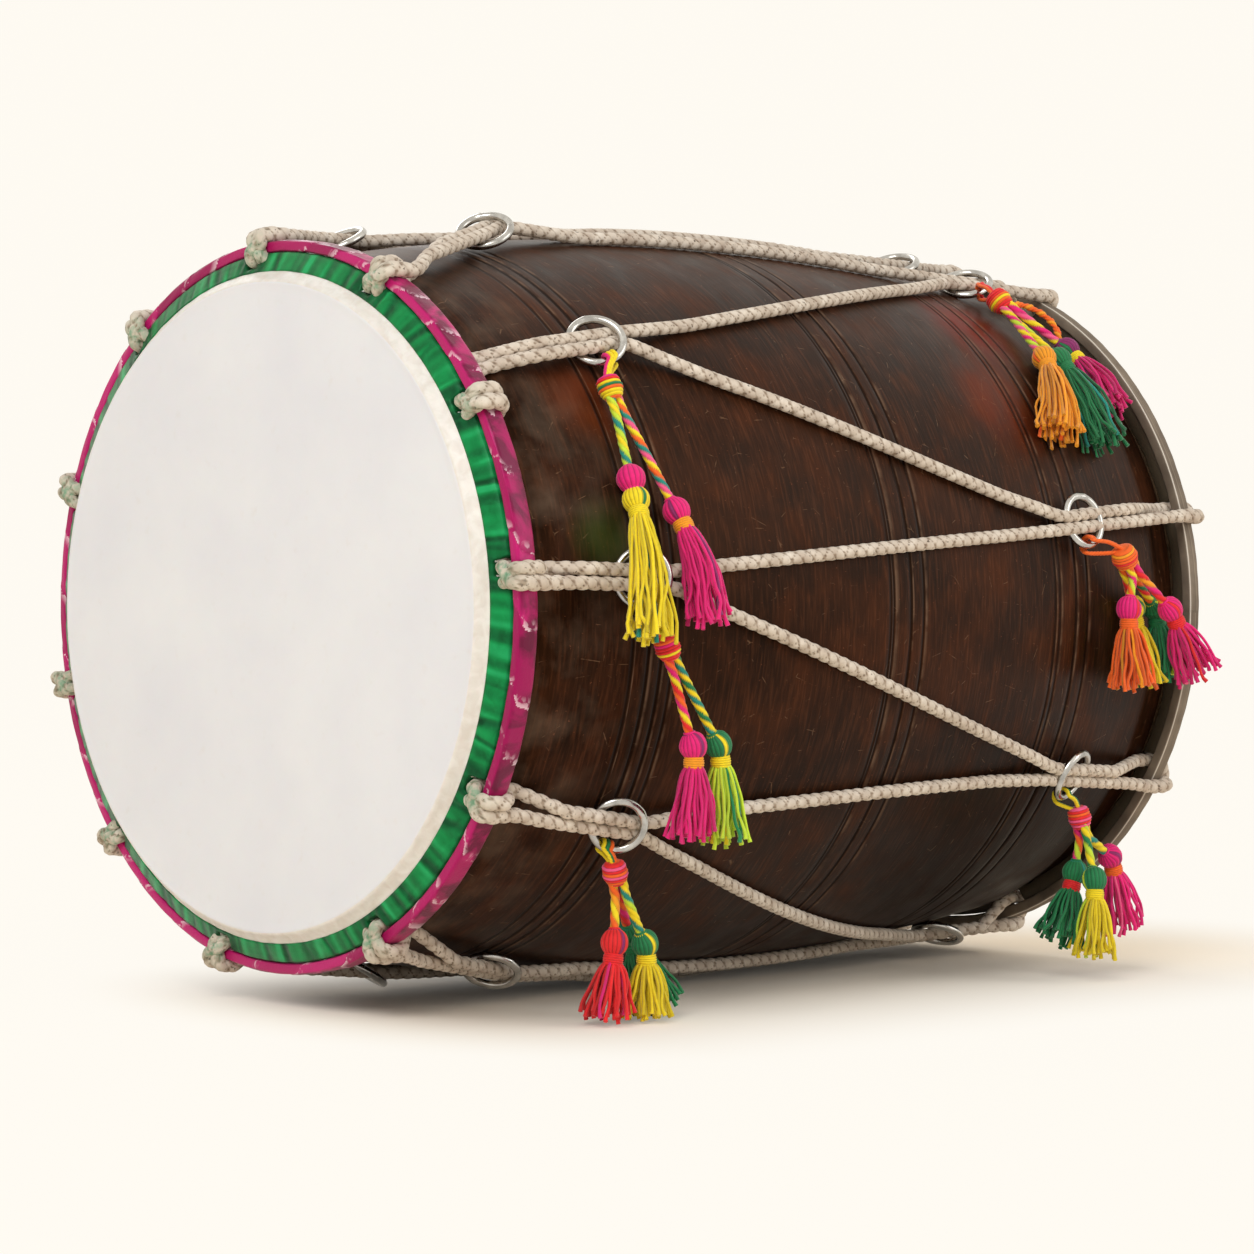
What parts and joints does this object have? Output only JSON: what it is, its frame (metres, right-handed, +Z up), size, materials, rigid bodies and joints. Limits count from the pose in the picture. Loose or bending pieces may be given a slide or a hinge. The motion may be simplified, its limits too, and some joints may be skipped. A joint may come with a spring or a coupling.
{
  "type": "dhol",
  "caption": "Two-headed barrel drum with rope lacing hitched round its hoops, sliding tuning rings and bunches of tassels, lying on its side.",
  "frame": {"origin": "on the floor under the middle of the drum, which lies on its side", "axes": "+X along the drum's axis from the treble head to the bass head, +Z up; the side with the tassels faces -Y"},
  "size_m": [0.575, 0.471, 0.4469],
  "materials": {
    "stained_wood": "dark brown stain, waxed, worn pale at the treble end and along the grooves",
    "white_skin": "thin white drum skin, smooth and matte",
    "goat_skin": "thick goat skin, matte",
    "cane": "bare cane",
    "green_satin": "puckered satin cloth",
    "ribboned_wood": "wood wrapped in shiny magenta ribbon, overlapping laps",
    "bare_wood": "weathered bare wood",
    "paste": "dry dark tuning paste",
    "cotton_rope": "laid cotton rope, off-white, slightly soiled",
    "ring_steel": "polished steel wire",
    "yellow_thread": "dyed cotton thread",
    "magenta_thread": "dyed cotton thread",
    "lime_thread": "dyed cotton thread",
    "red_thread": "dyed cotton thread",
    "green_thread": "dyed cotton thread",
    "amber_thread": "dyed cotton thread",
    "orange_thread": "dyed cotton thread"
  },
  "bodies": {
    "drum": {"shell": "stained_wood", "treble_skin": "white_skin", "treble_flesh_hoop": "cane", "treble_cloth_band": "green_satin", "treble_hoop": "ribboned_wood", "bass_skin": "goat_skin", "bass_flesh_hoop": "cane", "bass_hoop": "bare_wood", "bass_paste": "paste", "lacing_rope": "cotton_rope"},
    "treble_ring_01": {"treble_ring_01": "ring_steel"},
    "treble_ring_02": {"treble_ring_02": "ring_steel"},
    "treble_ring_03": {"treble_ring_03": "ring_steel"},
    "treble_ring_04": {"treble_ring_04": "ring_steel"},
    "treble_ring_05": {"treble_ring_05": "ring_steel"},
    "treble_ring_06": {"treble_ring_06": "ring_steel"},
    "treble_ring_07": {"treble_ring_07": "ring_steel"},
    "treble_ring_08": {"treble_ring_08": "ring_steel"},
    "treble_ring_09": {"treble_ring_09": "ring_steel"},
    "treble_ring_10": {"treble_ring_10": "ring_steel"},
    "treble_ring_11": {"treble_ring_11": "ring_steel"},
    "bass_ring_01": {"bass_ring_01": "ring_steel"},
    "bass_ring_02": {"bass_ring_02": "ring_steel"},
    "bass_ring_03": {"bass_ring_03": "ring_steel"},
    "bass_ring_04": {"bass_ring_04": "ring_steel"},
    "bass_ring_05": {"bass_ring_05": "ring_steel"},
    "bass_ring_06": {"bass_ring_06": "ring_steel"},
    "bass_ring_07": {"bass_ring_07": "ring_steel"},
    "bass_ring_08": {"bass_ring_08": "ring_steel"},
    "bass_ring_09": {"bass_ring_09": "ring_steel"},
    "bass_ring_10": {"bass_ring_10": "ring_steel"},
    "bass_ring_11": {"bass_ring_11": "ring_steel"},
    "bunch_upper_treble": {"tie_upper_treble": "yellow_thread", "tassel_upper_treble_yellow": "yellow_thread", "tassel_upper_treble_magenta": "magenta_thread"},
    "bunch_middle_treble": {"tie_middle_treble": "red_thread", "tassel_middle_treble_magenta": "magenta_thread", "tassel_middle_treble_lime": "lime_thread"},
    "bunch_lower_treble": {"tie_lower_treble": "red_thread", "tassel_lower_treble_red": "red_thread", "tassel_lower_treble_yellow": "yellow_thread", "tassel_lower_treble_green": "green_thread"},
    "bunch_upper_bass": {"tie_upper_bass": "red_thread", "tassel_upper_bass_amber": "amber_thread", "tassel_upper_bass_green": "green_thread", "tassel_upper_bass_magenta": "magenta_thread"},
    "bunch_middle_bass": {"tie_middle_bass": "orange_thread", "tassel_middle_bass_orange": "orange_thread", "tassel_middle_bass_yellow": "yellow_thread", "tassel_middle_bass_green": "green_thread", "tassel_middle_bass_magenta": "magenta_thread"},
    "bunch_lower_bass": {"tie_lower_bass": "red_thread", "tassel_lower_bass_green": "green_thread", "tassel_lower_bass_yellow": "yellow_thread", "tassel_lower_bass_magenta": "magenta_thread"}
  },
  "joints": [
    {"name": "treble_ring_01_slide", "type": "slide", "parent": "drum", "child": "treble_ring_01", "axis": [-0.9852, 0.1389, 0.1005], "range_m": [0, 0.018]},
    {"name": "treble_ring_02_slide", "type": "slide", "parent": "drum", "child": "treble_ring_02", "axis": [-0.9522, -0.2441, 0.1836], "range_m": [0, 0.018]},
    {"name": "treble_ring_03_slide", "type": "slide", "parent": "drum", "child": "treble_ring_03", "axis": [-0.9889, -0.0066, 0.1483], "range_m": [0, 0.018]},
    {"name": "treble_ring_04_slide", "type": "slide", "parent": "drum", "child": "treble_ring_04", "axis": [-0.9976, 0.0629, 0.0286], "range_m": [0, 0.006]},
    {"name": "treble_ring_05_slide", "type": "slide", "parent": "drum", "child": "treble_ring_05", "axis": [-0.9894, -0.0303, -0.1417], "range_m": [0, 0.01]},
    {"name": "treble_ring_06_slide", "type": "slide", "parent": "drum", "child": "treble_ring_06", "axis": [-0.8917, -0.3925, -0.2253], "range_m": [0, 0.018]},
    {"name": "treble_ring_07_slide", "type": "slide", "parent": "drum", "child": "treble_ring_07", "axis": [-0.9671, -0.2539, -0.0155], "range_m": [0, 0.01]},
    {"name": "treble_ring_08_slide", "type": "slide", "parent": "drum", "child": "treble_ring_08", "axis": [-0.9935, -0.1134, 0.0033], "range_m": [0, 0.018]},
    {"name": "treble_ring_09_slide", "type": "slide", "parent": "drum", "child": "treble_ring_09", "axis": [-0.997, -0.077, 0.0003], "range_m": [0, 0.018]},
    {"name": "treble_ring_10_slide", "type": "slide", "parent": "drum", "child": "treble_ring_10", "axis": [-0.996, -0.0806, -0.0384], "range_m": [0, 0.018]},
    {"name": "treble_ring_11_slide", "type": "slide", "parent": "drum", "child": "treble_ring_11", "axis": [-0.9966, -0.0287, 0.0771], "range_m": [0, 0.018]},
    {"name": "bass_ring_01_slide", "type": "slide", "parent": "drum", "child": "bass_ring_01", "axis": [0.9919, 0.1262, 0.0116], "range_m": [0, 0.01]},
    {"name": "bass_ring_02_slide", "type": "slide", "parent": "drum", "child": "bass_ring_02", "axis": [0.9821, -0.1783, 0.0614], "range_m": [0, 0.01]},
    {"name": "bass_ring_03_slide", "type": "slide", "parent": "drum", "child": "bass_ring_03", "axis": [0.9947, 0.0786, -0.066], "range_m": [0, 0.018]},
    {"name": "bass_ring_04_slide", "type": "slide", "parent": "drum", "child": "bass_ring_04", "axis": [0.9947, 0.0685, 0.0772], "range_m": [0, 0.01]},
    {"name": "bass_ring_05_slide", "type": "slide", "parent": "drum", "child": "bass_ring_05", "axis": [0.9962, -0.0771, -0.0404], "range_m": [0, 0.01]},
    {"name": "bass_ring_06_slide", "type": "slide", "parent": "drum", "child": "bass_ring_06", "axis": [0.9741, 0.2259, -0.0009], "range_m": [0, 0.01]},
    {"name": "bass_ring_07_slide", "type": "slide", "parent": "drum", "child": "bass_ring_07", "axis": [0.9981, 0.0317, -0.0529], "range_m": [0, 0.018]},
    {"name": "bass_ring_08_slide", "type": "slide", "parent": "drum", "child": "bass_ring_08", "axis": [0.9991, -0.0421, 0.0103], "range_m": [0, 0.018]},
    {"name": "bass_ring_09_slide", "type": "slide", "parent": "drum", "child": "bass_ring_09", "axis": [0.9992, -0.0336, -0.0236], "range_m": [0, 0.018]},
    {"name": "bass_ring_10_slide", "type": "slide", "parent": "drum", "child": "bass_ring_10", "axis": [0.9996, -0.0176, 0.0241], "range_m": [0, 0.018]},
    {"name": "bass_ring_11_slide", "type": "slide", "parent": "drum", "child": "bass_ring_11", "axis": [0.9981, 0.0246, 0.0568], "range_m": [0, 0.018]},
    {"name": "bunch_lower_treble_swing", "type": "hinge", "parent": "treble_ring_03", "child": "bunch_lower_treble", "pos_m": [-0.18549, -0.17311, 0.09623], "axis": [-0.8607, 0.3574, 0.3626], "range_deg": [0, 55]},
    {"name": "bunch_middle_treble_swing", "type": "hinge", "parent": "treble_ring_04", "child": "bunch_middle_treble", "pos_m": [-0.19682, -0.21259, 0.22818], "axis": [-0.8747, 0.4845, -0.0154], "range_deg": [0, 24]},
    {"name": "bunch_upper_treble_swing", "type": "hinge", "parent": "treble_ring_05", "child": "bunch_upper_treble", "pos_m": [-0.17791, -0.16542, 0.35985], "axis": [-0.8602, 0.2835, -0.4239], "range_deg": [0, 60]},
    {"name": "bunch_lower_bass_swing", "type": "hinge", "parent": "bass_ring_03", "child": "bunch_lower_bass", "pos_m": [0.17613, -0.18734, 0.11102], "axis": [-0.8804, -0.4546, -0.1351], "range_deg": [0, 45]},
    {"name": "bunch_middle_bass_swing", "type": "hinge", "parent": "bass_ring_04", "child": "bunch_middle_bass", "pos_m": [0.16393, -0.21563, 0.26193], "axis": [-0.8772, -0.4787, 0.0358], "range_deg": [0, 45]},
    {"name": "bunch_upper_bass_swing", "type": "hinge", "parent": "bass_ring_05", "child": "bunch_upper_bass", "pos_m": [0.2061, -0.0905, 0.41737], "axis": [-0.8948, -0.0847, 0.4384], "range_deg": [0, 60]}
  ]
}
